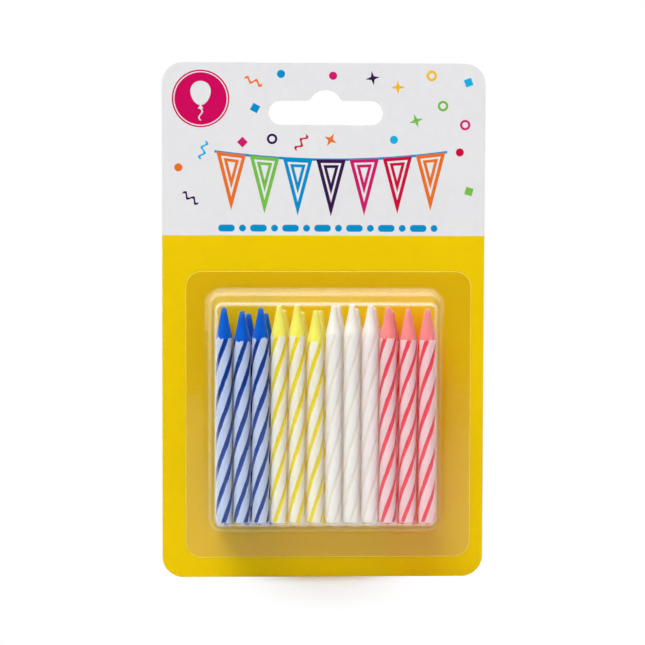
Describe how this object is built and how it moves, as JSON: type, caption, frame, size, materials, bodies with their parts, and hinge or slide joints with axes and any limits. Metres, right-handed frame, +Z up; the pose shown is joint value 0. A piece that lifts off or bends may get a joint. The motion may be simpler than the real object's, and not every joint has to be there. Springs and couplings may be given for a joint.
{
  "type": "blister pack of birthday candles",
  "caption": "Hanging blister pack: a printed card with a hang slot and a clear film pocket that holds two rows of slim spiral birthday candles in four colours.",
  "frame": {"origin": "where a display hook bears: the top of the hang slot's dome, at the middle of the card's thickness", "axes": "+Z up the card, the printed front and the candles face -Y, +X to the right as seen from the front"},
  "size_m": [0.0889, 0.0109, 0.1419],
  "materials": {
    "printed_board": "coated white board, 0.5 mm, printed yellow below a white header, semi-gloss",
    "clear_film": "clear thermoformed film, 0.3 mm, glossy, with a faint haze",
    "blue_wax": "pale blue wax with dark blue stripes in its grooves and a blue dipped tip, waxy sheen",
    "yellow_wax": "cream wax with yellow stripes in its grooves and a yellow dipped tip, waxy sheen",
    "white_wax": "white wax, the stripes and tip hardly darker, waxy sheen",
    "pink_wax": "pale pink wax with deep pink stripes in its grooves and a pink dipped tip, waxy sheen",
    "wick_cotton": "thin braided cotton, soaked with wax"
  },
  "bodies": {
    "card": {"backing_card": "printed_board"},
    "tray": {"blister": "clear_film", "candle_back_blue_1": "blue_wax", "wick_back_blue_1": "wick_cotton", "candle_back_blue_2": "blue_wax", "wick_back_blue_2": "wick_cotton", "candle_back_blue_3": "blue_wax", "wick_back_blue_3": "wick_cotton", "candle_back_yellow_1": "yellow_wax", "wick_back_yellow_1": "wick_cotton", "candle_back_yellow_2": "yellow_wax", "wick_back_yellow_2": "wick_cotton", "candle_back_yellow_3": "yellow_wax", "wick_back_yellow_3": "wick_cotton", "candle_back_white_1": "white_wax", "wick_back_white_1": "wick_cotton", "candle_back_white_2": "white_wax", "wick_back_white_2": "wick_cotton", "candle_back_white_3": "white_wax", "wick_back_white_3": "wick_cotton", "candle_back_pink_1": "pink_wax", "wick_back_pink_1": "wick_cotton", "candle_back_pink_2": "pink_wax", "wick_back_pink_2": "wick_cotton", "candle_back_pink_3": "pink_wax", "wick_back_pink_3": "wick_cotton", "candle_front_blue_1": "blue_wax", "wick_front_blue_1": "wick_cotton", "candle_front_blue_2": "blue_wax", "wick_front_blue_2": "wick_cotton", "candle_front_blue_3": "blue_wax", "wick_front_blue_3": "wick_cotton", "candle_front_yellow_1": "yellow_wax", "wick_front_yellow_1": "wick_cotton", "candle_front_yellow_2": "yellow_wax", "wick_front_yellow_2": "wick_cotton", "candle_front_yellow_3": "yellow_wax", "wick_front_yellow_3": "wick_cotton", "candle_front_white_1": "white_wax", "wick_front_white_1": "wick_cotton", "candle_front_white_2": "white_wax", "wick_front_white_2": "wick_cotton", "candle_front_white_3": "white_wax", "wick_front_white_3": "wick_cotton", "candle_front_pink_1": "pink_wax", "wick_front_pink_1": "wick_cotton", "candle_front_pink_2": "pink_wax", "wick_front_pink_2": "wick_cotton", "candle_front_pink_3": "pink_wax", "wick_front_pink_3": "wick_cotton"}
  },
  "joints": [
    {"name": "blister_peel", "type": "hinge", "parent": "card", "child": "tray", "pos_m": [-0.03851, -0.0006, -0.0894], "axis": [0, 0, -1], "range_deg": [0, 110]}
  ]
}
